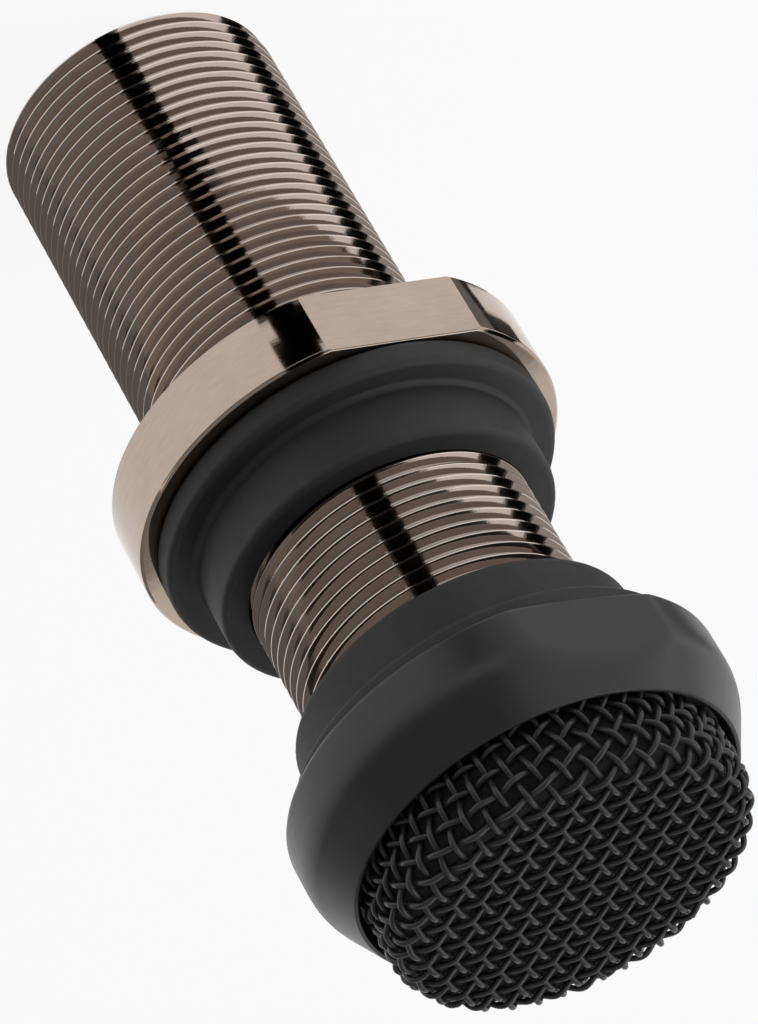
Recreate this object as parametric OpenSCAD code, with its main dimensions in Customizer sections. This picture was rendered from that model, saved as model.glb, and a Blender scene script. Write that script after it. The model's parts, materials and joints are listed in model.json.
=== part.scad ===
// Flush-mount electret microphone. A threaded barrel carries a ring nut and two stepped rubber
// rings that clamp a panel between them. The head at the top holds the capsule behind a woven wire
// grille, and the barrel's rear end is a recessed three-pole connector.
// The axis is Z, the rear end lies at z = 0 and the grille points up.

/* [Barrel] */
// Diameter over the crests of the thread
barrel_d = 20; // [19.6:0.1:20.8]
// Bore of the barrel, which the mating plug enters
barrel_bore = 16.3; // [15.6:0.1:16.6]
// Length from the rear end to the shoulder under the head
barrel_len = 59.5; // [56:0.5:70]
// Diameter of the spigot that carries the head
spigot_d = 18.4; // [17.8:0.1:19]
// Chamfer on the outside of the rear end
rear_chamfer = 0.6; // [0.2:0.1:1]

/* [Nut] */
// Width across the nut's two wrench flats
nut_af = 27.2; // [26.4:0.1:28.2]
// Diameter of the nut's round part
nut_d = 29.8; // [29:0.1:31]
// Thickness of the nut
nut_t = 5; // [3:0.25:7]
// Height of the nut's rear face above the barrel's end
nut_z = 30.8; // [26:0.2:33]
// Chamfer on the nut's two outer edges
nut_edge = 0.4; // [0.2:0.05:0.8]
// Turn of the nut's flats against the head's flats
nut_turn = 1; // [0:1:179]

/* [Rubber rings] */
// Diameter of the ring's flange
flange_d = 27.7; // [26.5:0.1:28.5]
// Thickness of the ring's flange
flange_t = 2; // [1.5:0.1:3]
// Diameter of the collar that enters the panel's hole
collar_d = 23.7; // [23:0.1:25]
// Length of the collar
collar_len = 4.3; // [3:0.1:6]
// Rounding of the rubber's outer edges
rubber_edge = 0.5; // [0.2:0.1:0.7]
// Fillet where the collar meets the flange
rubber_fillet = 0.4; // [0.2:0.1:0.8]

/* [Head] */
// Diameter of the head
head_d = 30; // [29.4:0.1:32]
// Length from the head's rear edge to its rim
head_len = 6.9; // [6.5:0.1:9]
// Straight band at the head's rear, before the bevel
head_band = 3.4; // [3:0.05:4.5]
// Rounding of the head's rear edge
head_edge = 0.7; // [0.2:0.05:0.8]
// Recess in the head's rear face that takes the rubber flange
head_recess = 0.5; // [0.2:0.1:0.8]
// Thickness of the head's floor
head_floor = 1.8; // [1.2:0.1:2.2]
// Width across the two wrench flats
flats_af = 28.2; // [27.6:0.1:29.2]
// Bore of the head in front of its floor
head_bore = 21.2; // [20.6:0.1:21.6]
// Width of the narrow land round the rim
rim_land = 0.25; // [0.2:0.05:0.5]
// Flare of the rim round the grille
rim_flare = 0.35; // [0.2:0.05:0.5]
// Depth of the grille's seat below the rim
seat_depth = 1.3; // [1:0.1:1.6]

/* [Grille] */
// Diameter over the wires of the grille's wall
grille_d = 25.2; // [24.8:0.1:25.6]
// Height of the grille's middle above the rim
grille_rise = 5.1; // [3.6:0.1:6]
// Bending radius of the woven sheet at its edge
grille_corner = 1.75; // [1.5:0.05:2.5]
// Radius of the slight crown on the grille's front
grille_crown = 240; // [120:10:500]
// Spacing of the wires
mesh_pitch = 1.36; // [1.3:0.02:1.8]
// Side of each wire's section
wire_w = 0.34; // [0.28:0.01:0.36]
// Height of the weave's wave above and below the sheet's middle
weave_h = 0.31; // [0.3:0.01:0.36]
// Turn of the weave against the head's flats
mesh_turn = 48; // [0:1:90]
// Height of the ring that presses the grille's skirt outwards
ring_h = 1.2; // [0.8:0.1:1.5]

/* [Capsule] */
// Diameter of the capsule's can
can_d = 9.7; // [9:0.1:10.5]
// Height of the capsule's can
can_h = 6.2; // [5.6:0.1:6.8]
// Wall of the can
can_wall = 0.3; // [0.2:0.05:0.4]
// Diameter of each sound hole
sound_hole_d = 0.9; // [0.6:0.1:1.2]
// Radius of the circle of sound holes
sound_circle_r = 2.4; // [2:0.1:2.6]
// Thickness of the diaphragm's ring
film_ring_t = 0.4; // [0.3:0.05:0.6]
// Radial width of the diaphragm's ring
film_ring_w = 0.9; // [0.6:0.1:1.2]
// Thickness of the diaphragm, shown thicker than the real film
film_t = 0.1; // [0.06:0.02:0.2]
// Thickness of the washer that sets the air gap
washer_t = 0.15; // [0.1:0.05:0.3]
// Radial width of the washer
washer_w = 0.6; // [0.4:0.1:0.9]
// Thickness of the back electrode
plate_t = 0.5; // [0.3:0.05:0.8]
// Diameter of each hole in the back electrode
plate_hole_d = 0.6; // [0.4:0.1:0.8]
// Wall of the insulating holder
holder_wall = 0.4; // [0.3:0.05:0.6]
// Wall of the contact ring
gate_wall = 0.5; // [0.3:0.05:0.8]
// Thickness of the capsule's board
capsule_board_t = 0.8; // [0.6:0.1:1]
// Width of the crimped edge behind the capsule's board
crimp_w = 0.8; // [0.6:0.1:1]
// Thickness of the felt on the capsule's front
felt_t = 0.4; // [0.3:0.1:0.6]
// Length, width and height of the transistor on the capsule's board
fet_size = [2.6, 1.6, 1.1];

/* [Boot] */
// Thickness of the boot's flange in the head
boot_flange_t = 1.9; // [1.5:0.1:2.1]
// Thickness of the lip under the capsule
boot_lip_t = 0.8; // [0.5:0.1:1.2]
// Width of the lip under the capsule
boot_lip_w = 0.9; // [0.7:0.1:1.2]

/* [Connector] */
// Depth of the socket at the rear end
socket_depth = 12.5; // [11.5:0.5:14]
// Length of the insulating insert
insert_len = 8; // [6:0.5:9]
// Diameter of each contact pin
pin_d = 2.4; // [2:0.1:2.6]
// Diameter of the circle that the pins stand on
pin_circle = 8.9; // [8.5:0.1:9.4]
// Distance of the pins' tips from the rear end
pin_inset = 1.8; // [1:0.1:3]
// Diameter of the pins' solder tails
tail_d = 1.6; // [1.2:0.1:1.8]
// Length of the pins' solder tails
tail_len = 5; // [4:0.5:7]
// Diameter of the screw that locks the insert
screw_d = 2.5; // [2:0.1:3]
// Length of the screw that locks the insert
screw_len = 4; // [3:0.25:4.5]
// Diameter of the wire from the third pin to the board
link_d = 0.8; // [0.6:0.1:1]

/* [Amplifier board] */
// Length of the board
board_len = 31; // [28:0.5:33]
// Thickness of the board
board_t = 1.2; // [0.8:0.1:1.6]
// Diameter of each can capacitor
cap_d = 5; // [4:0.1:5]
// Length of each can capacitor
cap_len = 7; // [5:0.5:9]
// Distance of each can capacitor from the middle of the board
cap_x = 3; // [2.6:0.1:3]
// Diameter of each transistor's body
transistor_d = 4.6; // [4:0.1:5]
// Height of each transistor's body
transistor_h = 3.4; // [3:0.1:3.8]
// Distance of each transistor from the middle of the board
transistor_x = 3.2; // [2.8:0.1:3.4]
// Length, width and height of each chip resistor
chip_size = [2, 1.25, 0.5];
// Spacing of the chip resistors along the board
chip_pitch = 3; // [2.4:0.1:3.2]
// Number of chip resistors in each of the two rows
chip_rows = 3; // [2:1:3]
// Diameter of the capsule's two leads
lead_d = 0.8; // [0.6:0.1:1]
// Distance between the capsule's two leads
lead_gap = 2.54; // [2:0.02:4]
// Length of each lead that lies on the board
lead_lap = 3; // [2:0.5:5]

/* [Hidden] */
$fn = 96;

// clearances: running on the thread, slip of a seated piece, and foam under the mesh
run_fit = 0.05;
slip = 0.03;
foam_gap = 0.12;
// overshoot of cutting tools
over = 1;

// heights along the axis
iso_z = nut_z + nut_t;
shoulder_z = barrel_len;
head_z = shoulder_z - head_recess;
floor_z = shoulder_z + head_floor;
band_z = head_z + head_band;
rim_z = head_z + head_len;
ledge_z = rim_z - seat_depth;
tip_z = rim_z + grille_rise;
boot_top_z = floor_z + boot_flange_t;
can_top_z = boot_top_z - felt_t;
can_z = can_top_z - can_h;
boot_z = can_z - boot_lip_t;
inner_top_z = can_top_z - can_wall;
film_z = inner_top_z - film_ring_t - film_t;
washer_z = film_z - washer_t;
plate_z = washer_z - plate_t;
capsule_board_z = can_z + can_wall;
gate_z = capsule_board_z + capsule_board_t;
board_z = socket_depth + insert_len;
screw_z = socket_depth + insert_len / 2;

// radii
barrel_r = barrel_d / 2;
bore_r = barrel_bore / 2;
thread_bore_r = barrel_r + run_fit;
seat_r = grille_d / 2 + slip + 0.02;
rim_r = seat_r + rim_flare;
recess_r = flange_d / 2 + 3 * slip;
capsule_r = can_d / 2 - can_wall - slip;
holder_r = capsule_r - holder_wall;
gate_r = holder_r - slip;
pin_ring_r = pin_circle / 2;
tail_r = tail_d / 2;

// the woven sheet's middle surface: crown, bend and wall, as one path from the axis outwards
sheet_half = weave_h + wire_w / 2;
sheet_r = grille_d / 2 - sheet_half;
sheet_top_z = tip_z - sheet_half;
bend_start = asin((sheet_r - grille_corner) / (grille_crown - grille_corner));
crown_r = grille_crown * sin(bend_start);
crown_s = grille_crown * bend_start * PI / 180;
bend_z = sheet_top_z - grille_crown * (1 - cos(bend_start));
bend_s = crown_s + grille_corner * (90 - bend_start) * PI / 180;
wall_z = bend_z - grille_corner * cos(bend_start);
skirt_s = bend_s + wall_z - ledge_z - slip;
wires = 2 * floor(skirt_s / mesh_pitch + 0.1);
mid_wire = (wires - 1) / 2;

// radius, height and slope of the sheet at the distance s from its middle, measured along it
function crown_at(s) =
    let (a = s / grille_crown * 180 / PI)
    [grille_crown * sin(a), sheet_top_z - grille_crown * (1 - cos(a)), a];
function bend_at(s) =
    let (a = bend_start + (s - crown_s) / grille_corner * 180 / PI)
    [crown_r + grille_corner * (sin(a) - sin(bend_start)),
     bend_z - grille_corner * (cos(bend_start) - cos(a)), a];
function wall_at(s) = [sheet_r, wall_z - (s - bend_s), 90];
function sheet_at(s) = s <= crown_s ? crown_at(s) : s <= bend_s ? bend_at(s) : wall_at(s);

// unit vector square to the sheet, and a point at a height off the sheet, at the flat place [u, v]
function sheet_normal(p) =
    let (q = sheet_at(norm(p)), d = p / norm(p))
    [sin(q[2]) * d[0], sin(q[2]) * d[1], cos(q[2])];
function sheet_point(p, off) =
    let (q = sheet_at(norm(p)), d = p / norm(p))
    [q[0] * d[0], q[0] * d[1], q[1]] + off * sheet_normal(p);
function unit(v) = v / norm(v);

// one wire of the weave: flat place and wave height at each crossing, and at its two ends
function wire_place(family, k, u) =
    let (v = (k - mid_wire) * mesh_pitch) family == 0 ? [u, v] : [v, u];
function wire_wave(family, k, j) = weave_h * ((k + j) % 2 == family ? 1 : -1);
function wire_reach(k) =
    sqrt(pow(skirt_s, 2) - pow(abs(k - mid_wire) * mesh_pitch + wire_w / 2, 2)) - wire_w / 2;
function wire_stops(k) =
    [for (j = [0 : wires - 1]) if (abs(j - mid_wire) * mesh_pitch < wire_reach(k) - wire_w) j];
function wire_path(family, k) =
    let (reach = wire_reach(k), stops = wire_stops(k))
    concat([[wire_place(family, k, -reach), 0]],
           [for (j = stops) [wire_place(family, k, (j - mid_wire) * mesh_pitch), wire_wave(family, k, j)]],
           [[wire_place(family, k, reach), 0]]);
function wire_ring(path, points, i) =
    let (n = len(points), a = points[max(i - 1, 0)], b = points[min(i + 1, n - 1)],
         along = unit(b - a), across = unit(cross(along, sheet_normal(path[i][0]))),
         up = cross(across, along), h = wire_w / 2)
    [for (c = [[-h, -h], [h, -h], [h, h], [-h, h]]) points[i] + c[0] * across + c[1] * up];
function wire_points(family, k) =
    let (path = wire_path(family, k), points = [for (p = path) sheet_point(p[0], p[1])])
    [for (i = [0 : len(points) - 1]) each wire_ring(path, points, i)];
function wire_faces(rings, first) =
    concat([for (i = [0 : rings - 2], c = [0 : 3])
                let (a = first + 4 * i + c, b = first + 4 * i + (c + 1) % 4)
                each [[a, b, b + 4], [a, b + 4, a + 4]]],
           [[first, first + 2, first + 1], [first, first + 3, first + 2]],
           let (e = first + 4 * (rings - 1)) [[e, e + 1, e + 2], [e, e + 2, e + 3]]);
function sums(list, i = 0, total = 0) =
    i == len(list) ? [] : concat([total], sums(list, i + 1, total + list[i]));

// ring of rectangular section, with rounded outer edges at the ends that are asked for
module ring(r1, r2, z1, z2, low_edge = 0, high_edge = 0) {
    rotate_extrude()
        difference() {
            translate([r1, z1])
                square([r2 - r1, z2 - z1]);
            if (low_edge > 0)
                translate([r2 - low_edge, z1 + low_edge])
                    corner_waste(low_edge, -1);
            if (high_edge > 0)
                translate([r2 - high_edge, z2 - high_edge])
                    corner_waste(high_edge, 1);
        }
}

// what a rounded corner takes away from a square one
module corner_waste(r, way) {
    difference() {
        translate([0, way > 0 ? 0 : -r - over])
            square([r + over, r + over]);
        circle(r);
    }
}

// what two opposite wrench flats take away from a round piece
module wrench_flats(d, af, z1, z2) {
    for (side = [-1, 1])
        translate([-d / 2, side > 0 ? af / 2 : -af / 2 - d, z1 - over])
            cube([d, d, z2 - z1 + 2 * over]);
}

// stepped rubber ring, flange down, from z = 0 upwards
module rubber_ring() {
    collar_r = collar_d / 2;
    ring(thread_bore_r, flange_d / 2, 0, flange_t, rubber_edge, rubber_edge);
    ring(thread_bore_r, collar_r, flange_t, flange_t + collar_len, 0, rubber_edge);
    rotate_extrude()
        difference() {
            translate([collar_r, flange_t])
                square(rubber_fillet);
            translate([collar_r + rubber_fillet, flange_t + rubber_fillet])
                circle(rubber_fillet);
        }
}

module threaded_barrel() {
    color([0.24, 0.22, 0.21])
    difference() {
        rotate_extrude()
            polygon([[bore_r, 0], [barrel_r - rear_chamfer, 0], [barrel_r, rear_chamfer],
                     [barrel_r, shoulder_z], [spigot_d / 2, shoulder_z],
                     [spigot_d / 2, floor_z], [bore_r, floor_z]]);
        translate([0, 0, screw_z])
            rotate([-90, 0, 0])
                cylinder(d = screw_d + 2 * slip, h = barrel_d);
    }
}

module hex_nut() {
    // round, with two opposite flats for a wrench
    color([0.75, 0.66, 0.58])
    translate([0, 0, nut_z])
    rotate([0, 0, nut_turn])
    difference() {
        rotate_extrude()
            polygon([[thread_bore_r, 0], [nut_d / 2 - nut_edge, 0], [nut_d / 2, nut_edge],
                     [nut_d / 2, nut_t - nut_edge], [nut_d / 2 - nut_edge, nut_t], [thread_bore_r, nut_t]]);
        wrench_flats(nut_d, nut_af, 0, nut_t);
    }
}

module lower_isolator() {
    color([0.16, 0.16, 0.17])
    translate([0, 0, iso_z])
        rubber_ring();
}

module upper_isolator() {
    color([0.16, 0.16, 0.17])
    translate([0, 0, shoulder_z])
        mirror([0, 0, 1])
            rubber_ring();
}

module head_shell() {
    spigot_bore_r = spigot_d / 2 + slip;
    color([0.13, 0.13, 0.14])
    difference() {
        rotate_extrude()
            difference() {
                polygon([[recess_r, head_z], [head_d / 2, head_z], [head_d / 2, band_z],
                         [rim_r + rim_land, rim_z], [rim_r, rim_z], [seat_r, rim_z - 2 * rim_flare],
                         [seat_r, ledge_z], [head_bore / 2, ledge_z], [head_bore / 2, floor_z],
                         [spigot_bore_r, floor_z], [spigot_bore_r, shoulder_z], [recess_r, shoulder_z]]);
                translate([head_d / 2 - head_edge, head_z + head_edge])
                    corner_waste(head_edge, -1);
            }
        wrench_flats(head_d, flats_af, head_z, rim_z);
    }
}

module wire_grille() {
    sets = [for (family = [0, 1], k = [0 : wires - 1]) wire_points(family, k)];
    starts = sums([for (s = sets) len(s)]);
    color([0.09, 0.09, 0.1])
    rotate([0, 0, mesh_turn])
        polyhedron(points = [for (s = sets) each s],
                   faces = [for (i = [0 : len(sets) - 1]) each wire_faces(len(sets[i]) / 4, starts[i])]);
}

module grille_ring() {
    color([0.2, 0.2, 0.21])
    ring(head_bore / 2, sheet_r - sheet_half - 3 * slip, ledge_z, ledge_z + ring_h);
}

module foam_disc() {
    // the foam fills the cup of the woven sheet, one named gap inside it, and rests on the ring
    drop = sheet_half + foam_gap;
    core_r = head_bore / 2 - slip;
    rest_z = ledge_z + ring_h + slip;
    bend_r = grille_corner - drop;
    bend_steps = 5;
    color([0.1, 0.1, 0.1])
    rotate_extrude()
        polygon(concat([[0, boot_top_z], [core_r, boot_top_z], [core_r, rest_z], [sheet_r - drop, rest_z]],
                       [for (i = [0 : bend_steps])
                            let (a = 90 - (90 - bend_start) * i / bend_steps)
                            [sheet_r - grille_corner + bend_r * sin(a), wall_z + bend_r * cos(a)]],
                       [[0, sheet_top_z - drop]]));
}

module capsule_boot() {
    can_r = can_d / 2 + slip;
    tube_r = bore_r - slip;
    color([0.19, 0.19, 0.19])
    rotate_extrude()
        polygon([[can_d / 2 - boot_lip_w, boot_z], [tube_r, boot_z], [tube_r, floor_z],
                 [head_bore / 2 - slip, floor_z], [head_bore / 2 - slip, boot_top_z],
                 [can_r, boot_top_z], [can_r, can_z], [can_d / 2 - boot_lip_w, can_z]]);
}

module dust_felt() {
    color([0.08, 0.08, 0.08])
    translate([0, 0, can_top_z])
        cylinder(d = can_d, h = felt_t);
}

module capsule_can() {
    can_r = can_d / 2;
    color([0.78, 0.79, 0.8])
    difference() {
        rotate_extrude()
            polygon([[0, inner_top_z], [can_r - can_wall, inner_top_z],
                     [can_r - can_wall, capsule_board_z], [can_r - crimp_w, capsule_board_z],
                     [can_r - crimp_w, can_z], [can_r, can_z], [can_r, can_top_z], [0, can_top_z]]);
        for (a = [0 : 60 : 300])
            rotate([0, 0, a])
                translate([sound_circle_r, 0, inner_top_z - over])
                    cylinder(d = sound_hole_d, h = can_wall + 2 * over);
    }
}

module diaphragm_ring() {
    color([0.8, 0.68, 0.4])
    ring(capsule_r - film_ring_w, capsule_r, film_z + film_t, inner_top_z);
}

module diaphragm_film() {
    color([0.85, 0.8, 0.65])
    translate([0, 0, film_z])
        cylinder(r = capsule_r, h = film_t);
}

module spacer_washer() {
    color([0.9, 0.9, 0.86])
    ring(capsule_r - washer_w, capsule_r, washer_z, film_z);
}

module back_electrode() {
    color([0.8, 0.7, 0.45])
    difference() {
        translate([0, 0, plate_z])
            cylinder(r = holder_r - slip, h = plate_t);
        for (a = [0 : 90 : 270])
            rotate([0, 0, a])
                translate([holder_r / 2, 0, plate_z - over])
                    cylinder(d = plate_hole_d, h = plate_t + 2 * over);
    }
}

module electrode_holder() {
    color([0.88, 0.88, 0.85])
    ring(holder_r, capsule_r, gate_z, washer_z);
}

module gate_ring() {
    color([0.8, 0.68, 0.4])
    ring(gate_r - gate_wall, gate_r, gate_z, plate_z);
}

module fet() {
    color([0.12, 0.12, 0.12])
    translate([-fet_size[0] / 2, -fet_size[1] / 2, gate_z])
        cube(fet_size);
}

module capsule_board() {
    color([0.16, 0.36, 0.2])
    translate([0, 0, capsule_board_z])
        cylinder(r = capsule_r, h = capsule_board_t);
}

module capsule_leads() {
    lead_z = board_z + board_len - lead_lap;
    color([0.7, 0.16, 0.12])
    for (side = [-1, 1])
        translate([side * lead_gap / 2, tail_r - lead_d / 2 - slip, lead_z])
            cylinder(d = lead_d, h = capsule_board_z - lead_z);
}

module amplifier_board() {
    far_y = tail_r + board_t;
    board_w = 2 * sqrt(pow(bore_r - slip, 2) - pow(far_y, 2));
    color([0.12, 0.34, 0.2])
    translate([-board_w / 2, tail_r, board_z])
        cube([board_w, board_t, board_len]);
}

module capacitors() {
    color([0.2, 0.24, 0.4])
    for (side = [-1, 1])
        translate([side * cap_x, tail_r + board_t + cap_d / 2 + slip, board_z + board_len / 2])
            cylinder(d = cap_d, h = cap_len);
}

module transistors() {
    flat_y = tail_r - slip;
    color([0.1, 0.1, 0.1])
    for (side = [-1, 1])
        intersection() {
            translate([side * transistor_x, flat_y - transistor_h + transistor_d / 2,
                       board_z + board_len / 3])
                cylinder(d = transistor_d, h = transistor_d);
            translate([side * transistor_x - transistor_d, flat_y - transistor_h - over, board_z])
                cube([2 * transistor_d, transistor_h + over, board_len]);
        }
}

module resistors() {
    color([0.15, 0.15, 0.16])
    for (side = [-1, 1], row = [0 : chip_rows - 1])
        translate([side * transistor_x - chip_size[0] / 2, tail_r - chip_size[2],
                   board_z + 2 * board_len / 3 + row * chip_pitch])
            cube([chip_size[0], chip_size[2], chip_size[1]]);
}

// places of the three contacts round the axis, as on a three-pole audio plug
function pin_angles() = [0, 180, 270];

module connector_insert() {
    color([0.1, 0.1, 0.1])
    difference() {
        translate([0, 0, socket_depth])
            cylinder(r = bore_r - slip, h = insert_len);
        for (a = pin_angles())
            rotate([0, 0, a])
                translate([pin_ring_r, 0, socket_depth - over])
                    cylinder(d = pin_d + 2 * slip, h = insert_len + 2 * over);
        translate([0, barrel_r - rear_chamfer - screw_len - slip, screw_z])
            rotate([-90, 0, 0])
                cylinder(d = screw_d + 2 * slip, h = barrel_d);
    }
}

module contact_pins() {
    color([0.85, 0.72, 0.4])
    for (a = pin_angles())
        rotate([0, 0, a])
            translate([pin_ring_r, 0, 0])
                rotate_extrude()
                    polygon([[0, pin_inset], [pin_d / 4, pin_inset], [pin_d / 2, pin_inset + pin_d / 4],
                             [pin_d / 2, board_z], [tail_r, board_z], [tail_r, board_z + tail_len],
                             [0, board_z + tail_len]]);
}

module pin_link() {
    // runs square to the board, from the third pin's tail to the board's face
    color([0.75, 0.75, 0.75])
    translate([0, -pin_ring_r + tail_r + slip, board_z + tail_len / 2])
        rotate([-90, 0, 0])
            cylinder(d = link_d, h = pin_ring_r - slip);
}

module insert_screw() {
    color([0.7, 0.7, 0.7])
    translate([0, barrel_r - rear_chamfer - screw_len, screw_z])
        rotate([-90, 0, 0])
            cylinder(d = screw_d, h = screw_len);
}

threaded_barrel();
hex_nut();
lower_isolator();
upper_isolator();
head_shell();
wire_grille();
grille_ring();
foam_disc();
capsule_boot();
dust_felt();
capsule_can();
diaphragm_ring();
diaphragm_film();
spacer_washer();
back_electrode();
electrode_holder();
gate_ring();
fet();
capsule_board();
capsule_leads();
amplifier_board();
capacitors();
transistors();
resistors();
connector_insert();
contact_pins();
pin_link();
insert_screw();
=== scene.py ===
# %% [markdown]
# # A flush-mount electret microphone
# The part is a threaded metal barrel that goes through a table or ceiling panel. Two rubber rings and a
# nut clamp the panel, and a black head in front holds the capsule behind a domed wire grille.
# The solids already have their true sizes. This lesson dresses them: it cuts the real thread, weaves
# the real wires, softens the edges that catch the light, and gives every surface its finish.

# %% Load the solids
import json
import math

import bmesh
import bpy
from mathutils import Matrix, Vector


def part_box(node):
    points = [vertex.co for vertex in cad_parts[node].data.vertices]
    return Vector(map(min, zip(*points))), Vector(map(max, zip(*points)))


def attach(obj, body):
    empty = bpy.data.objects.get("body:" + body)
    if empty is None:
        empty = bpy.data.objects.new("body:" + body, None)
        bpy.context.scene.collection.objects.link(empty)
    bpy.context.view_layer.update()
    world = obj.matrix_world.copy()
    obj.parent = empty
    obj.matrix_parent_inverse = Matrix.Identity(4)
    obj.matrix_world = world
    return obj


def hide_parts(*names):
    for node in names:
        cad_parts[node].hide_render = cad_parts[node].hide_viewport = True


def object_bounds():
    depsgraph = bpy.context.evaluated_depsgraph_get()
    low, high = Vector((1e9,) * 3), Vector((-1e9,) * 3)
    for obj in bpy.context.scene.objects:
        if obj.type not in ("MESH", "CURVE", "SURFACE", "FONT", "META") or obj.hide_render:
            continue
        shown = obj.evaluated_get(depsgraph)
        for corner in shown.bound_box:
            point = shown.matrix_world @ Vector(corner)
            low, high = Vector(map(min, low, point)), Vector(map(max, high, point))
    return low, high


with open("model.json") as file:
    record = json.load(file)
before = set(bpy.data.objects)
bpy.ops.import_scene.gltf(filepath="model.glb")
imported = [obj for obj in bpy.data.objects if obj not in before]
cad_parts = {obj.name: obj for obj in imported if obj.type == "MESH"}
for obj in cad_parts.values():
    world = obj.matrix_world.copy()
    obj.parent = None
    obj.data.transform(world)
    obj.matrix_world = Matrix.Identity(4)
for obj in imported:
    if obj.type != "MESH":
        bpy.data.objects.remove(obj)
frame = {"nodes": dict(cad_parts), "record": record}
cad_low, cad_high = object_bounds()
MM = 0.001
print("solids:", len(frame["nodes"]), "height in mm:", round(cad_high.z / MM, 2))

# %% [markdown]
# ## Sizes
# Blender works in metres here. The main sizes are measured from the solids' boxes, so that the dressed
# pieces can't drift away from them. Only what a box can't tell, such as a bore or a chamfer, is named.

# %% Measure the solids
barrel_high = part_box("threaded_barrel")[1]
nut_low, nut_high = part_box("hex_nut")
head_low, head_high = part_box("head_shell")
grille_low, grille_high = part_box("wire_grille")
ring_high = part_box("upper_isolator")[1]
boot_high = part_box("capsule_boot")[1]
axis_middle = Vector((0, 0, cad_high.z / 2))
print("barrel radius in mm:", round(barrel_high.x / MM, 2))
print("head radius in mm:", round(head_high.x / MM, 2))

# %% [markdown]
# ## Camera
# The photograph looks down on the grille's end with a long lens, and the camera is rolled so far that
# the barrel points to the upper left. A camera is an aim, a direction, a distance and a roll, so those
# are the values that are named. No shift is needed.

# %% Place the camera
VIEW_AZIMUTH = math.radians(-51.85)
VIEW_ELEVATION = math.radians(34.57)
VIEW_DISTANCE = 373.9 * MM
VIEW_ROLL = math.radians(150.05)
VIEW_AIM = Vector((-0.64, -0.5, 38.37)) * MM
LENS = 202.76


def direction(azimuth, elevation):
    """Unit vector at an azimuth about Z, counted from +X, and an elevation above the floor."""
    level = math.cos(elevation)
    return Vector((level * math.cos(azimuth), level * math.sin(azimuth), math.sin(elevation)))


def added(name, data):
    """A new object in the scene."""
    thing = bpy.data.objects.new(name, data)
    bpy.context.collection.objects.link(thing)
    return thing


def place_camera():
    toward = direction(VIEW_AZIMUTH, VIEW_ELEVATION)
    data = bpy.data.cameras.new("camera")
    data.lens = LENS
    data.sensor_width = 36
    data.clip_start = 0.01
    camera = added("camera", data)
    camera.location = VIEW_AIM + VIEW_DISTANCE * toward
    upright = (-toward).to_track_quat("-Z", "Y").to_matrix().to_4x4()
    turned = upright @ Matrix.Rotation(VIEW_ROLL, 4, "Z")
    turned.translation = camera.location
    camera.matrix_world = turned
    bpy.context.scene.camera = camera
    return camera


camera = place_camera()
print("camera height in mm:", round(camera.location.z / MM, 1))

# %% [markdown]
# ## Sums on sockets
# A finish is a small sum over the surface: a noise here, a mask there. Wiring those by hand hides the
# idea, so a `Signal` stands for one node's output and Python's own signs add the Math nodes.
# Every other node comes from `Finish.node`, which sets the node's options before its inputs.


# %% Signals and finishes
class Signal:
    """One output of a shader node, on which Python's arithmetic works."""

    def __init__(self, finish, socket):
        self.finish = finish
        self.socket = socket

    def sum(self, operation, first, second):
        return self.finish.node("ShaderNodeMath", {"operation": operation}, {0: first, 1: second})

    def __add__(self, other):
        return self.sum("ADD", self, other)

    def __mul__(self, other):
        return self.sum("MULTIPLY", self, other)

    def __pow__(self, other):
        return self.sum("POWER", self, other)

    __radd__ = __add__
    __rmul__ = __mul__


class Finish:
    """A material with one Principled shader, built up from signals."""

    def __init__(self, name, **constants):
        self.material = bpy.data.materials.new(name)
        self.material.use_nodes = True
        self.tree = self.material.node_tree
        self.shader = self.tree.nodes["Principled BSDF"]
        for socket, value in constants.items():
            self.set(socket.replace("_", " ").title(), value)

    def node(self, kind, settings=None, inputs=None, output=0):
        made = self.tree.nodes.new(kind)
        for key, value in (settings or {}).items():
            setattr(made, key, value)
        for key, value in (inputs or {}).items():
            self.feed(made.inputs[key], value)
        return Signal(self, made.outputs[output])

    def feed(self, socket, value):
        if isinstance(value, Signal):
            self.tree.links.new(value.socket, socket)
        elif isinstance(value, tuple) and len(value) == 3 and socket.type == "RGBA":
            socket.default_value = (*value, 1)
        else:
            socket.default_value = value

    def set(self, name, value):
        self.feed(self.shader.inputs[name], value)

    def place(self):
        return self.node("ShaderNodeTexCoord", output="Object")

    def noise(self, scale, detail=2.0, stretch=(1, 1, 1)):
        where = self.node("ShaderNodeMapping", {}, {"Vector": self.place(), "Scale": stretch})
        return self.node("ShaderNodeTexNoise", {}, {"Vector": where, "Scale": scale, "Detail": detail})

    def between(self, low, high, value):
        """0 below low, 1 above high, and smooth between them."""
        return self.node("ShaderNodeMapRange", {"interpolation_type": "SMOOTHSTEP"},
                         {"Value": value, "From Min": low, "From Max": high})

    def mix(self, share, first, second):
        mixed = self.node("ShaderNodeMix", {"data_type": "RGBA"}, {0: share, 6: first, 7: second})
        return Signal(self, mixed.socket.node.outputs[2])

    def bump(self, height, depth, strength=1.0):
        shape = {"Height": height, "Distance": depth, "Strength": strength}
        self.set("Normal", self.node("ShaderNodeBump", {}, shape))

    def radius(self):
        """Distance from the barrel's axis."""
        apart = self.node("ShaderNodeSeparateXYZ", {}, {0: self.place()}).socket.node
        x, y = Signal(self, apart.outputs[0]), Signal(self, apart.outputs[1])
        return (x * x + y * y) ** 0.5


print("shader helpers ready")

# %% [markdown]
# ## Metal finishes
# The barrel is plated in dark nickel. Towards the crest radius the plating is painted paler: a painted
# highlight that brightens the thread crests' thin lines of light. The nut has the warm, satin look of fine
# brushing: the noise is stretched round the part, so that it breaks up the light in short hairlines.

# %% Barrel and nut finishes
# how far below the crest the painted highlight on the crests reaches
CREST_HIGHLIGHT_DEPTH = 0.05 * MM


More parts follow.
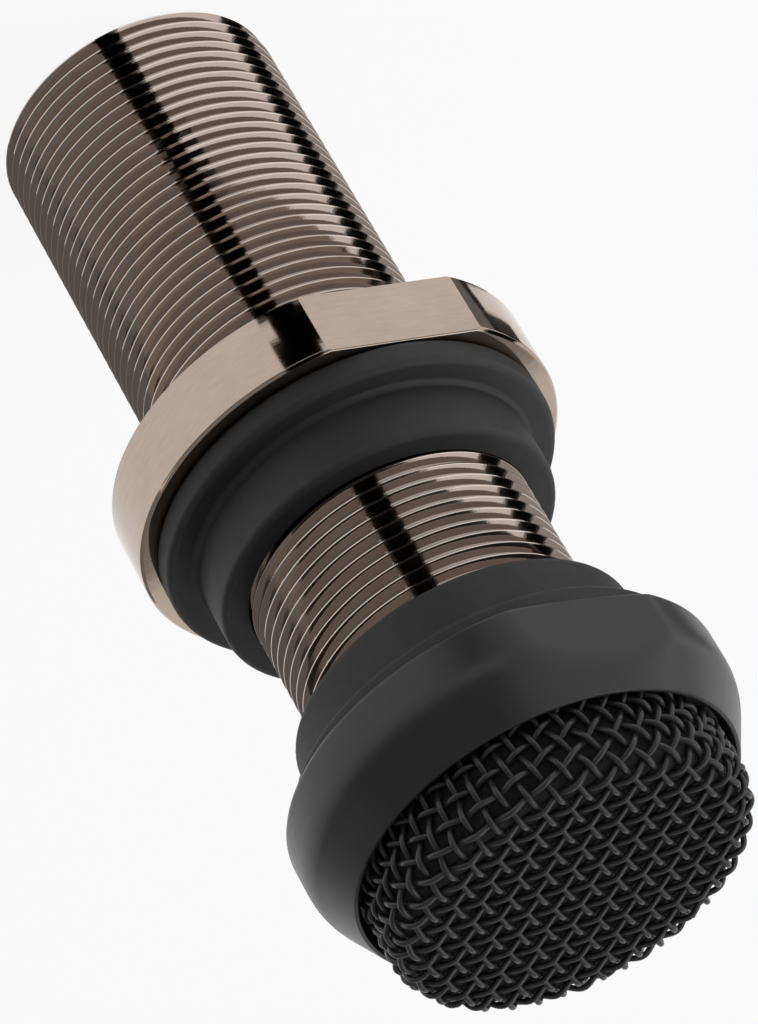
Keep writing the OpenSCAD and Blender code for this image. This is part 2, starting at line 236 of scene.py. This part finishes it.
def dark_nickel():
    made = Finish("dark_nickel", metallic=1.0)
    crest = barrel_high.x
    # painted highlight: the plating is painted paler near the crest radius, to brighten the crests' reflected
    # lines
    painted_crest_highlight = made.between(crest - CREST_HIGHLIGHT_DEPTH, crest - 0.2 * CREST_HIGHLIGHT_DEPTH, made.radius())
    cloud = made.noise(220, 3)
    plate = made.mix(cloud, (0.29, 0.24, 0.215), (0.36, 0.3, 0.27))
    made.set("Base Color", made.mix(painted_crest_highlight, plate, (0.6, 0.51, 0.46)))
    made.set("Roughness", 0.05 + made.noise(900, 4) * 0.06 + painted_crest_highlight * 0.04)
    made.bump(made.noise(5000, 2, (1, 1, 0.2)), 0.004 * MM, 0.5)
    return made.material


def satin_nickel():
    made = Finish("satin_nickel", metallic=1.0)
    grain = made.noise(2600, 3, (0.3, 0.3, 1.6))
    cloud = made.noise(260, 2)
    made.set("Base Color", made.mix(grain * 0.6 + cloud * 0.4, (0.385, 0.305, 0.25), (0.575, 0.465, 0.385)))
    made.set("Roughness", 0.05 + grain * 0.06)
    made.bump(grain, 0.006 * MM, 0.25)
    return made.material


finishes = {"dark_nickel": dark_nickel(), "satin_nickel": satin_nickel()}
print("finishes:", sorted(finishes))

# %% [markdown]
# ## Black finishes
# Black isn't one colour: the rubber is matt and a little grey, the head is a satin coating, and the
# wires are a little glossier, so that each bow catches a line of light. A fine bump keeps all three from
# looking like plastic film. The foam behind the wires is almost lightless.


# %% Rubber, coating, wire and foam finishes
def isolator_rubber():
    made = Finish("isolator_rubber")
    cloud = made.noise(150, 4)
    made.set("Base Color", made.mix(cloud, (0.021, 0.021, 0.022), (0.031, 0.031, 0.032)))
    made.set("Roughness", 0.52 + made.noise(1800, 3) * 0.16)
    made.bump(made.noise(7000, 3), 0.012 * MM, 0.5)
    return made.material


def black_coating():
    made = Finish("black_satin_paint")
    cloud = made.noise(120, 3)
    made.set("Base Color", made.mix(cloud, (0.021, 0.021, 0.0215), (0.029, 0.029, 0.03)))
    made.set("Roughness", 0.3 + made.noise(1400, 3) * 0.1)
    made.bump(made.noise(9000, 2), 0.008 * MM, 0.5)
    return made.material


def black_wire():
    made = Finish("black_wire")
    cloud = made.noise(900, 2)
    made.set("Base Color", made.mix(cloud, (0.026, 0.026, 0.0265), (0.036, 0.036, 0.037)))
    made.set("Roughness", 0.28 + cloud * 0.12)
    made.bump(made.noise(12000, 2), 0.006 * MM, 0.5)
    return made.material


def black_foam():
    made = Finish("black_foam", roughness=1.0)
    cell = made.node("ShaderNodeTexVoronoi", {}, {"Vector": made.place(), "Scale": 1800.0})
    made.set("Base Color", made.mix(cell, (0.006, 0.006, 0.006), (0.02, 0.02, 0.02)))
    made.bump(cell, 0.2 * MM, 1.0)
    return made.material


finishes["isolator_rubber"] = isolator_rubber()
finishes["black_satin_paint"] = black_coating()
finishes["black_wire"] = black_wire()
finishes["black_foam"] = black_foam()
print("finishes:", sorted(finishes))

# %% [markdown]
# ## Finishes inside
# The capsule, the amplifier and the connector only show when the part is opened or looked at from
# behind. They still get real finishes, from one recipe: two close colours, a roughness that wanders
# and a bump, with metal or not as the piece needs.

# %% Finishes of the inner pieces
# dark colour, pale colour, roughness, metal or not, and the scale of the grain
INNER_FINISHES = {
    "boot_rubber": ((0.03, 0.03, 0.03), (0.045, 0.045, 0.045), 0.6, 0.0, 2500),
    "black_felt": ((0.006, 0.006, 0.006), (0.016, 0.016, 0.016), 0.95, 0.0, 6000),
    "can_aluminium": ((0.68, 0.69, 0.7), (0.8, 0.81, 0.82), 0.28, 1.0, 1500),
    "contact_brass": ((0.68, 0.5, 0.24), (0.82, 0.66, 0.36), 0.25, 1.0, 1500),
    "film": ((0.72, 0.68, 0.56), (0.82, 0.78, 0.66), 0.2, 0.0, 900),
    "white_insulator": ((0.76, 0.76, 0.72), (0.86, 0.86, 0.83), 0.5, 0.0, 1200),
    "black_plastic": ((0.02, 0.02, 0.021), (0.034, 0.034, 0.036), 0.42, 0.0, 3000),
    "green_board": ((0.03, 0.15, 0.06), (0.06, 0.22, 0.1), 0.3, 0.0, 700),
    "red_lead": ((0.42, 0.03, 0.025), (0.52, 0.06, 0.045), 0.4, 0.0, 1500),
    "blue_sleeve": ((0.05, 0.07, 0.19), (0.08, 0.11, 0.27), 0.32, 0.0, 1200),
    "pin_metal": ((0.76, 0.6, 0.32), (0.88, 0.74, 0.46), 0.18, 1.0, 1800),
    "tinned_wire": ((0.6, 0.6, 0.6), (0.74, 0.74, 0.73), 0.3, 1.0, 1600),
}


def inner_finish(name):
    dark, pale, roughness, metallic, scale = INNER_FINISHES[name]
    made = Finish(name, metallic=metallic)
    grain = made.noise(scale, 3)
    made.set("Base Color", made.mix(grain, dark, pale))
    made.set("Roughness", roughness - 0.05 + grain * 0.1)
    made.bump(grain, 0.01 * MM, 0.4)
    return made.material


for name in INNER_FINISHES:
    finishes[name] = inner_finish(name)
print("finishes:", len(finishes))

# %% [markdown]
# ## Paint the solids
# The record says which finish each solid takes. A solid whose shape is already right simply gets that
# material, and the pieces made below take the place of the others.

# %% Give every solid its finish
slots = {part["node"]: part["material_slot"] for part in frame["record"]["subparts"]}
for node, thing in frame["nodes"].items():
    thing.data.materials.clear()
    thing.data.materials.append(finishes[slots[node]])
print("painted solids:", len(slots))

# %% [markdown]
# ## Rings with a section that changes
# Nut, head and barrel are all rings: a closed section carried round the axis. If the section may change
# with the angle, one helper makes all three. `softened` rounds the section's corners first, because a
# knife-sharp edge never catches the light as a real one does.

# %% Ring builder
SOFT_STEPS = 4
SOFT_SHARE = 0.45
WELD = 0.0005 * MM


def softened(section, radii):
    """The section's corners, rounded: each corner gives SOFT_STEPS + 1 points on a small curve."""
    points = []
    count = len(section)
    for i, radius in enumerate(radii):
        corner = Vector(section[i])
        before = Vector(section[i - 1]) - corner
        after = Vector(section[(i + 1) % count]) - corner
        if radius == 0:
            points.append(tuple(corner))
            continue
        reach = min(radius, before.length * SOFT_SHARE, after.length * SOFT_SHARE)
        start = corner + before.normalized() * reach
        end = corner + after.normalized() * reach
        for step in range(SOFT_STEPS + 1):
            t = step / SOFT_STEPS
            points.append(tuple(start * (1 - t) ** 2 + corner * (2 * t * (1 - t)) + end * t ** 2))
    return points


def ring_piece(name, columns, section_at):
    """A ring: section_at(angle) gives its section as (radius, height) points. The last column lies on
    the first one and is welded to it later, so that a section may end one lap higher than it began."""
    angles = [2 * math.pi * column / columns for column in range(columns + 1)]
    sections = [section_at(angle) for angle in angles]
    rows = len(sections[0])
    verts = [(r * math.cos(angle), r * math.sin(angle), z)
             for angle, section in zip(angles, sections) for r, z in section]
    faces = []
    for column in range(columns):
        here, there = column * rows, (column + 1) * rows
        for j in range(rows):
            up = (j + 1) % rows
            faces.append((here + j, there + j, there + up, here + up))
    mesh = bpy.data.meshes.new(name)
    mesh.from_pydata(verts, [], faces)
    return mesh


def finished_piece(mesh, slot, body, node, sharp=40, weighted=True):
    """Cleans a mesh, shades it and puts it in its solid's place on its body."""
    shape = bmesh.new()
    shape.from_mesh(mesh)
    bmesh.ops.remove_doubles(shape, verts=shape.verts, dist=WELD)
    bmesh.ops.recalc_face_normals(shape, faces=shape.faces)
    shape.to_mesh(mesh)
    shape.free()
    mesh.shade_smooth()
    mesh.set_sharp_from_angle(angle=math.radians(sharp))
    piece = added(mesh.name, mesh)
    mesh.materials.append(finishes[slot])
    if weighted:
        normals = piece.modifiers.new("even_faces", "WEIGHTED_NORMAL")
        normals.keep_sharp = True
    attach(piece, body)
    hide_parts(node)
    return piece


def smooth_least(a, b, blend):
    """The smaller of two values, with the change from one to the other rounded off."""
    share = max(blend - abs(a - b), 0) / blend
    return min(a, b) - share * share * blend / 4


print("ring builder ready")

# %% [markdown]
# ## The nut
# The nut is a round ring with two opposite flats for a wrench. In polar form that is one line: a flat's
# distance from the axis grows towards its ends until the round takes over. The turned chamfer runs only
# round the round part, so along a flat the edge is just broken, and that edge catches a hairline of light.

# %% Nut
NUT_ROOM = 0.05 * MM
NUT_BORE = barrel_high.x + NUT_ROOM
NUT_ACROSS = 27.7 * MM
NUT_EDGE = 0.18 * MM
NUT_BROKEN_EDGE = 0.12 * MM
NUT_TURN = math.radians(4.2)
NUT_LEAD_IN = 0.35 * MM
NUT_BLEND = 0.03 * MM
NUT_COLUMNS = 960
LEAST_SINE = 0.2
nut_round = nut_high.x


def flat_or_round(angle, half_across, half_round, blend):
    """Distance from the axis of a round piece with two flats square to Y, at an angle."""
    return smooth_least(half_across / max(abs(math.sin(angle)), LEAST_SINE), half_round, blend)


def nut_section(angle):
    reach = flat_or_round(angle - NUT_TURN, NUT_ACROSS / 2, nut_round, NUT_BLEND)
    drop = max(reach - (nut_round - NUT_EDGE), NUT_BROKEN_EDGE)
    low, high, face = nut_low.z, nut_high.z, reach - drop
    corners = [(NUT_BORE + NUT_LEAD_IN, low), (face, low), (reach, low + drop), (reach, high - drop),
               (face, high), (NUT_BORE + NUT_LEAD_IN, high), (NUT_BORE, high - NUT_LEAD_IN),
               (NUT_BORE, low + NUT_LEAD_IN)]
    soft = NUT_BROKEN_EDGE / 2
    return softened(corners, (soft, soft, soft, soft, soft, soft, 0, 0))


nut_mesh = ring_piece("nut_satin", NUT_COLUMNS, nut_section)
nut = finished_piece(nut_mesh, "satin_nickel", "nut", "hex_nut", sharp=16)
print("nut faces:", len(nut.data.polygons))

# %% [markdown]
# ## The head
# The head is turned from one piece: a straight band, a soft break and a long bevel up to a thin rim.
# Two flats for a wrench are milled across it. Where a flat meets the bevel it ends in an arc, and that
# arc comes out by itself if the bevel simply starts higher wherever the flat has taken radius away.

# %% Head
RING_ROOM = 0.09 * MM
RECESS = ring_high.x + RING_ROOM
BAND = 3.4 * MM
REAR_EDGE = 0.7 * MM
BREAK_EDGE = 0.9 * MM
RIM_EDGE = 0.08 * MM
RIM_BORE = 12.65 * MM
RIM_FLARE = 0.35 * MM
RIM_LAND = 0.25 * MM
RIM_DEPTH = 1.3 * MM
HEAD_BORE = 10.6 * MM
SPIGOT_BORE = 9.23 * MM
FLAT_BLEND = 0.1 * MM
BOOT_DEPTH = 1.9 * MM
WALL_SHARE = 0.9
HEAD_COLUMNS = 480
head_floor = boot_high.z - BOOT_DEPTH
shoulder = ring_high.z


def head_section(angle):
    reach = flat_or_round(angle, head_high.y, head_high.x, FLAT_BLEND)
    rim, low = head_high.z, head_low.z
    rim_out = RIM_BORE + RIM_FLARE + RIM_LAND
    taken = (head_high.x - reach) / (head_high.x - rim_out)
    start = low + BAND + taken * (rim - low - BAND)
    corners = [(RECESS, low), (reach, low), (reach, start), (rim_out, rim), (RIM_BORE + RIM_FLARE, rim),
               (RIM_BORE, rim - 2 * RIM_FLARE), (RIM_BORE, rim - RIM_DEPTH), (HEAD_BORE, rim - RIM_DEPTH),
               (HEAD_BORE, head_floor), (SPIGOT_BORE, head_floor), (SPIGOT_BORE, shoulder),
               (RECESS, shoulder)]
    rear_edge = min(REAR_EDGE, (reach - RECESS) * WALL_SHARE)
    return softened(corners, (0, rear_edge, BREAK_EDGE, RIM_EDGE, RIM_EDGE, 0, 0, 0, 0, 0, 0, 0))


head_mesh = ring_piece("head_satin", HEAD_COLUMNS, head_section)
head = finished_piece(head_mesh, "black_satin_paint", "microphone", "head_shell")
print("head faces:", len(head.data.polygons))

# %% [markdown]
# ## The thread
# The solids carry a plain cylinder here. A real screw thread is a helix: going once round moves the
# whole outline up by one pitch. So the barrel is a ring too, whose section slides up as the angle grows.
# The crest is narrow, the flanks are flat and steep, and the root is blunt, as on a cut metric thread.
# At the rear the chamfer cuts the crests away, and at the shoulder the outline is trimmed level. Last, a
# hole is drilled through the thread for the set screw that holds the connector.

# %% Barrel with its thread
PITCH = 1.0 * MM
THREAD_DEPTH = 0.61 * MM
REAR_CHAMFER = 0.3 * MM
BARREL_BORE = 8.15 * MM
SPIGOT = 9.2 * MM
MOUTH_EDGE = 0.3 * MM
SCREW_ROOM = 0.03 * MM
THREAD_COLUMNS = 132
DRILL_SIDES = 40
# share of the pitch, and depth below the crest as a share of the thread's depth
THREAD_OUTLINE = [(0.0, 1.0), (0.125, 0.9), (0.46, 0.0), (0.54, 0.0), (0.875, 0.9)]


def thread_radius(share):
    """The barrel's radius at a share of the pitch, between the outline's points."""
    share %= 1
    points = THREAD_OUTLINE + [(1.0, 1.0)]
    for (t0, d0), (t1, d1) in zip(points, points[1:]):
        if t0 <= share <= t1:
            depth = d0 + (d1 - d0) * (share - t0) / (t1 - t0)
            return barrel_high.x - depth * THREAD_DEPTH


def barrel_section(angle):
    turn = angle / (2 * math.pi)
    rear = barrel_high.x - REAR_CHAMFER
    outside = []
    for lap in range(-1, round(shoulder / PITCH) + 1):
        for share, _ in THREAD_OUTLINE:
            height = min(max((lap + share + turn) * PITCH, 0), shoulder)
            outside.append((min(thread_radius(height / PITCH - turn), rear + height), height))
    inside = [(SPIGOT, shoulder), (SPIGOT, barrel_high.z), (BARREL_BORE, barrel_high.z),
              (BARREL_BORE, MOUTH_EDGE), (BARREL_BORE + MOUTH_EDGE, 0)]
    return outside + inside


def drill(piece, place, radius):
    """Cuts a round hole square to the axis, from the given place out through the +Y side."""
    tool_shape = bmesh.new()
    bmesh.ops.create_cone(tool_shape, cap_ends=True, segments=DRILL_SIDES, radius1=radius, radius2=radius,
                          depth=barrel_high.x)
    tool_mesh = bpy.data.meshes.new("drill")
    tool_shape.to_mesh(tool_mesh)
    tool_shape.free()
    tool = added("drill", tool_mesh)
    tool.location = (place.x, place.y + barrel_high.x / 2, place.z)
    tool.rotation_euler = (math.pi / 2, 0, 0)
    cut = piece.modifiers.new("hole", "BOOLEAN")
    cut.object = tool
    cut.solver = "EXACT"
    graph = bpy.context.evaluated_depsgraph_get()
    holed = bpy.data.meshes.new_from_object(piece.evaluated_get(graph))
    piece.modifiers.remove(cut)
    piece.data = holed
    bpy.data.objects.remove(tool)


barrel_mesh = ring_piece("barrel_threaded", THREAD_COLUMNS, barrel_section)
barrel = finished_piece(barrel_mesh, "dark_nickel", "microphone", "threaded_barrel", sharp=15, weighted=False)
screw_low, screw_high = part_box("insert_screw")
drill(barrel, (screw_low + screw_high) / 2, screw_high.x + SCREW_ROOM)
print("barrel faces:", len(barrel.data.polygons))

# %% [markdown]
# ## The wire grille
# The grille is a plain weave: each wire goes over one neighbour and under the next. The woven sheet is
# then pressed into a shallow cup. So every wire is laid out flat first, as a straight line with a wave,
# and each of its points is carried onto the cup: out along the crown, round the bend and down the wall,
# by the distance from the middle. That keeps the wires' spacing on the bend, as in the pressed sheet.

# %% Grille
WIRE = 0.41 * MM
WAVE = 0.52 * WIRE
MESH_PITCH = 1.36 * MM
MESH_TURN = math.radians(48)
WIRES = 24
CUP_CORNER = 1.75 * MM
CUP_DOME = 240 * MM
SIDES = 8
STEPS = 7
half_sheet = WAVE + WIRE / 2
cup_radius = min(grille_high.x, grille_high.y) - half_sheet
cup_top = grille_high.z - half_sheet
bend_start = math.asin((cup_radius - CUP_CORNER) / (CUP_DOME - CUP_CORNER))
crown_end = CUP_DOME * bend_start
bend_end = crown_end + CUP_CORNER * (math.pi / 2 - bend_start)
bend_top = cup_top - CUP_DOME * (1 - math.cos(bend_start))
wall_top = bend_top - CUP_CORNER * math.cos(bend_start)
skirt_end = bend_end + wall_top - grille_low.z


def cup_at(distance):
    """Radius, height and slope of the pressed sheet at a distance from its middle, along the sheet."""
    if distance <= crown_end:
        slope = distance / CUP_DOME
        return CUP_DOME * math.sin(slope), cup_top - CUP_DOME * (1 - math.cos(slope)), slope
    if distance <= bend_end:
        slope = bend_start + (distance - crown_end) / CUP_CORNER
        out = CUP_DOME * math.sin(bend_start) + CUP_CORNER * (math.sin(slope) - math.sin(bend_start))
        return out, bend_top - CUP_CORNER * (math.cos(bend_start) - math.cos(slope)), slope
    return cup_radius, wall_top - (distance - bend_end), math.pi / 2


def on_cup(u, v, lift):
    """The place on the cup, and the way square to it, of a flat place (u, v) lifted off the sheet."""
    distance = math.hypot(u, v)
    radius, height, slope = cup_at(distance)
    turn = math.atan2(v, u) + MESH_TURN
    out = Vector((math.cos(turn), math.sin(turn), 0))
    square = out * math.sin(slope) + Vector((0, 0, math.cos(slope)))
    return out * radius + Vector((0, 0, height)) + square * lift, square


def wire_rings(family, k):
    """Rings of points along one wire of the weave."""
    middle = (WIRES - 1) / 2
    across = (k - middle) * MESH_PITCH
    reach = math.sqrt(skirt_end ** 2 - (abs(across) + WIRE / 2) ** 2) - WIRE / 2
    count = round(2 * reach / MESH_PITCH * STEPS)
    path = []
    for i in range(count + 1):
        along = reach * (2 * i / count - 1)
        side = 1 if family == 0 else -1
        lift = side * WAVE * math.cos(math.pi * (along / MESH_PITCH + middle + k))
        path.append(on_cup(along, across, lift) if family == 0 else on_cup(across, along, lift))
    rings = []
    for i, (point, square) in enumerate(path):
        ahead = path[min(i + 1, count)][0] - path[max(i - 1, 0)][0]
        sideways = ahead.cross(square).normalized()
        upward = sideways.cross(ahead).normalized()
        turns = [2 * math.pi * s / SIDES for s in range(SIDES)]
        rings.append([point + (sideways * math.cos(t) + upward * math.sin(t)) * WIRE / 2 for t in turns])
    return rings


def grille_mesh():
    verts, faces = [], []
    for family in (0, 1):
        for k in range(WIRES):
            rings = wire_rings(family, k)
            first = len(verts)
            verts += [tuple(point) for ring in rings for point in ring]
            for i in range(len(rings) - 1):
                for s in range(SIDES):
                    a, b = first + i * SIDES + s, first + i * SIDES + (s + 1) % SIDES
                    faces.append((a, b, b + SIDES, a + SIDES))
            faces.append(tuple(first + s for s in reversed(range(SIDES))))
            faces.append(tuple(first + (len(rings) - 1) * SIDES + s for s in range(SIDES)))
    mesh = bpy.data.meshes.new("grille_woven")
    mesh.from_pydata(verts, [], faces)
    return mesh


grille = finished_piece(grille_mesh(), "black_wire", "microphone", "wire_grille", sharp=60, weighted=False)
print("grille faces:", len(grille.data.polygons))

# %% [markdown]
# ## The foam
# Soft foam presses against the wires from behind, so that no daylight shows through the cup. It follows
# the inside of the woven sheet, down to the ring that holds the grille's skirt.

# %% Foam
FOAM_DROP = 0.6 * half_sheet
FOAM_ROOM = 0.03 * MM
FOAM_STEPS = 6
FOAM_COLUMNS = 96
foam_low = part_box("foam_disc")[0]
press_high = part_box("grille_ring")[1]


def foam_section(angle):
    core = HEAD_BORE - FOAM_ROOM
    bend = CUP_CORNER - FOAM_DROP
    wall = cup_radius - FOAM_DROP
    section = [(0, foam_low.z), (core, foam_low.z), (core, press_high.z), (wall, press_high.z)]
    for step in range(FOAM_STEPS + 1):
        slope = math.pi / 2 + (bend_start - math.pi / 2) * step / FOAM_STEPS
        out = cup_radius - CUP_CORNER + bend * math.sin(slope)
        section.append((out, wall_top + bend * math.cos(slope)))
    section.append((0, cup_top - FOAM_DROP))
    return section


foam_mesh = ring_piece("foam_pressed", FOAM_COLUMNS, foam_section)
foam = finished_piece(foam_mesh, "black_foam", "microphone", "foam_disc", weighted=False)
print("foam top in mm:", round(max(v.co.z for v in foam.data.vertices) / MM, 2))

# %% [markdown]
# ## The studio
# The microphone stands on a pale floor that curves up into a wall far away, so that no view meets a
# dark edge. To the camera and to mirrors the floor is nearly white by itself, with a faint shadow of the
# part left in it. To all other rays it is an ordinary pale floor, so it adds no glow to matt surfaces.

# %% Floor and wall
FLOOR_RADIUS = 1.5
WALL_HEIGHT = 1.1
COVE = 0.5
FLOOR_DROP = 0.02 * MM
FLOOR_WHITE = 0.9
FLOOR_COLUMNS = 64
COVE_STEPS = 12


def floor_finish():
    made = Finish("pale_floor", roughness=0.9, base_color=(0.86, 0.86, 0.86))
    made.set("Specular IOR Level", 0.1)
    rays = made.node("ShaderNodeLightPath").socket.node.outputs
    seen = Signal(made, rays["Is Camera Ray"])
    for kind in ("Is Glossy Ray", "Is Transmission Ray"):
        seen = seen.sum("MAXIMUM", seen, Signal(made, rays[kind]))
    white = made.node("ShaderNodeEmission", {}, {"Color": (1.0, 1.0, 1.0), "Strength": 1.0})
    plain = Signal(made, made.shader.outputs[0])
    mixed = made.node("ShaderNodeMixShader", {}, {0: seen * FLOOR_WHITE, 1: plain, 2: white})
    made.tree.links.new(mixed.socket, made.tree.nodes["Material Output"].inputs["Surface"])
    return made.material


def stage_floor():
    outline = [(0, 0), (FLOOR_RADIUS - COVE, 0)]
    for step in range(1, COVE_STEPS + 1):
        turn = math.pi / 2 * step / COVE_STEPS
        outline.append((FLOOR_RADIUS - COVE + COVE * math.sin(turn), COVE * (1 - math.cos(turn))))
    outline.append((FLOOR_RADIUS, WALL_HEIGHT))
    rows = len(outline)
    verts, faces = [], []
    for i in range(FLOOR_COLUMNS):
        turn = 2 * math.pi * i / FLOOR_COLUMNS
        verts += [(r * math.cos(turn), r * math.sin(turn), z - FLOOR_DROP) for r, z in outline]
        here, there = i * rows, (i + 1) % FLOOR_COLUMNS * rows
        faces += [(here + j, there + j, there + j + 1, here + j + 1) for j in range(rows - 1)]
    mesh = bpy.data.meshes.new("floor")
    mesh.from_pydata(verts, [], faces)
    mesh.shade_smooth()
    mesh.materials.append(floor_finish())
    floor = added("floor", mesh)
    return floor


floor = stage_floor()
print("floor across in m:", 2 * FLOOR_RADIUS)

# %% [markdown]
# ## Cards for mirrors
# Barrel and nut are mirrors, so their dark and bright bands are pictures of the studio. Cards draw those
# pictures, as in a light tent: only reflections see them, so they light nothing and cast no shadow.
# To place a card, ask the mirror's question backwards: after it meets a surface with this turn and this
# tilt, which way does the camera look? A tilted flank looks up at a hung card. An upright surface looks
# down at the floor, where the card is laid.

# %% Lamp and card builders
CARD_DISTANCE = 0.9
CARD_LIFT = 0.3 * MM


def from_view(azimuth, elevation, distance):
    """A place round the part, with the azimuth in degrees counted from the camera's side."""
    way = direction(VIEW_AZIMUTH + math.radians(azimuth), math.radians(elevation))
    return axis_middle + way * distance


def softbox(name, place, size, brightness):
    """A rectangular lamp that faces the part. Its energy grows with its area, so a larger one is softer
    and no dimmer."""
    data = bpy.data.lights.new(name, "AREA")
    data.shape = "RECTANGLE"
    data.size, data.size_y = size
    data.energy = brightness * math.pi * size[0] * size[1]
    lamp = added(name, data)
    lamp.location = place
    lamp.rotation_euler = (place - axis_middle).to_track_quat("Z", "Y").to_euler()
    lamp.visible_camera = False
    return lamp


def mirrored(turn, tilt):
    """Where a surface makes the camera look: its normal is turned from the camera's side and tilted up."""
    normal = direction(VIEW_AZIMUTH + math.radians(turn), math.radians(tilt))
    toward = direction(VIEW_AZIMUTH, VIEW_ELEVATION)
    return normal * (2 * normal.dot(toward)) - toward


def reflection_card(name, shade, rows):
    """A card through rows of corners, of a brightness where 1 is white, that only reflections see."""
    made = Finish(name, base_color=(0, 0, 0), roughness=1.0)
    made.set("Emission Color", (1, 1, 1))
    made.set("Emission Strength", shade)
    made.set("Specular IOR Level", 0)
    across = len(rows[0])
    corners = [tuple(corner) for row in rows for corner in row]
    faces = []
    for i in range(len(rows) - 1):
        for j in range(across - 1):
            first = i * across + j
            faces.append((first, first + 1, first + 1 + across, first + across))
    mesh = bpy.data.meshes.new(name)
    mesh.from_pydata(corners, [], faces)
    mesh.materials.append(made.material)
    card = added(name, mesh)
    card.visible_camera = False
    card.visible_diffuse = False
    card.visible_shadow = False
    return card


def hung_card(name, shade, turns, tilts):
    """A card hung where surfaces with these turns and tilts show it to the camera."""
    rows = [[axis_middle + mirrored(turn, tilt) * CARD_DISTANCE for turn in turns] for tilt in tilts]
    return reflection_card(name, shade, rows)


def mirrored_floor(place, turn):
    """Where on the floor an upright surface makes the camera look, at a height and radius of the part."""
    height, radius = place
    square = direction(VIEW_AZIMUTH + math.radians(turn), 0)
    point = square * radius + Vector((0, 0, height))
    toward = (camera.location - point).normalized()
    way = square * (2 * square.dot(toward)) - toward
    return point + way * ((CARD_LIFT - height) / way.z)


def laid_card(name, shade, turns, places):
    """A card laid on the floor where upright surfaces with these turns show it to the camera."""
    rows = [[mirrored_floor(place, turn) for turn in turns] for place in places]
    return reflection_card(name, shade, rows)


print("lamp and card builders ready")

# %% [markdown]
# ## Light the part
# One softbox and a dim, even sky light the part. Mirrors don't see the softbox: a bright panel stands in
# for it on the thread's flanks. The black slot in front and the gap at the side make the barrel's two dark
# bands, and each has a part in the air for the flanks and parts on the floor for the crests. Turns are
# degrees from the camera's side: below zero lies to the right in the photograph, above zero to the left.

# %% Lamp, sky and cards
WORLD_LIGHT = 0.3
KEY_PLACE = from_view(-112, 62, 0.55)
KEY_SIZE = (0.34, 0.42)
KEY_LIGHT = 3.2
SLOT = (-0.5, -5, -10.5)
SIDE = (-58, -63, -69)
NUT_MARGIN = 4 * MM
SHADE_MARGIN = 6 * MM
UPPER_REACH = 1.6
# heights on the part, and the radius of the upright surface there
BARREL_PLACES = ((0, barrel_high.x), (nut_low.z, barrel_high.x))
SHADED_PLACES = ((0, barrel_high.x), (nut_low.z - SHADE_MARGIN, barrel_high.x))
NUT_PLACES = ((nut_low.z - NUT_MARGIN, nut_round), (nut_high.z + NUT_MARGIN, nut_round))
UPPER_PLACES = ((nut_high.z, barrel_high.x), (UPPER_REACH * head_low.z, barrel_high.x))
# brightness, and the turns and tilts of the surfaces that show the card
HUNG_CARDS = {
    "camera_slot": (0.0, SLOT, (20, 48, 60, 75)),
    "key_panel": (1.5, (-11, -20, -30, -43, -56.5), (48, 60, 75)),
    "side_gap": (0.0, (-57, -63, -69), (20, 45, 60, 75)),
    "far_panel": (0.65, (-70, -78, -88), (45, 60, 75)),
    "left_shade": (0.25, (45, 60, 75, 88), (5, 20, 40, 60, 75)),
    "front_shade": (0.2, (44, 20, 0), (18, 30, 40)),
    "bevel_glint": (8.0, (-59, -68), (29, 35)),
}
# brightness, and the turns and places of the surfaces that show the card
LAID_CARDS = {
    "barrel_slot": (0.0, SLOT, BARREL_PLACES),
    "barrel_gap": (0.05, SIDE, BARREL_PLACES),
    "upper_slot": (0.0, SLOT, UPPER_PLACES),
    "upper_gap": (0.05, SIDE, UPPER_PLACES),
    "barrel_shade": (0.12, (58, 65, 75, 88), SHADED_PLACES),
    "nut_slot": (0.0, (-3, -9, -16), NUT_PLACES),
    "nut_gap": (0.2, (-52, -60), NUT_PLACES),
    "nut_line": (0.02, (-60, -62.5), NUT_PLACES),
}

world = bpy.data.worlds.new("studio")
world.use_nodes = True
world.node_tree.nodes["Background"].inputs["Color"].default_value = (WORLD_LIGHT,) * 3 + (1,)
bpy.context.scene.world = world
bpy.context.scene.view_settings.view_transform = "Standard"

key = softbox("key_softbox", KEY_PLACE, KEY_SIZE, KEY_LIGHT)
key.visible_glossy = False
for name, (shade, turns, tilts) in HUNG_CARDS.items():
    hung_card(name, shade, turns, tilts)
for name, (shade, turns, places) in LAID_CARDS.items():
    laid_card(name, shade, turns, places)
print("cards hung:", len(HUNG_CARDS), "laid:", len(LAID_CARDS))
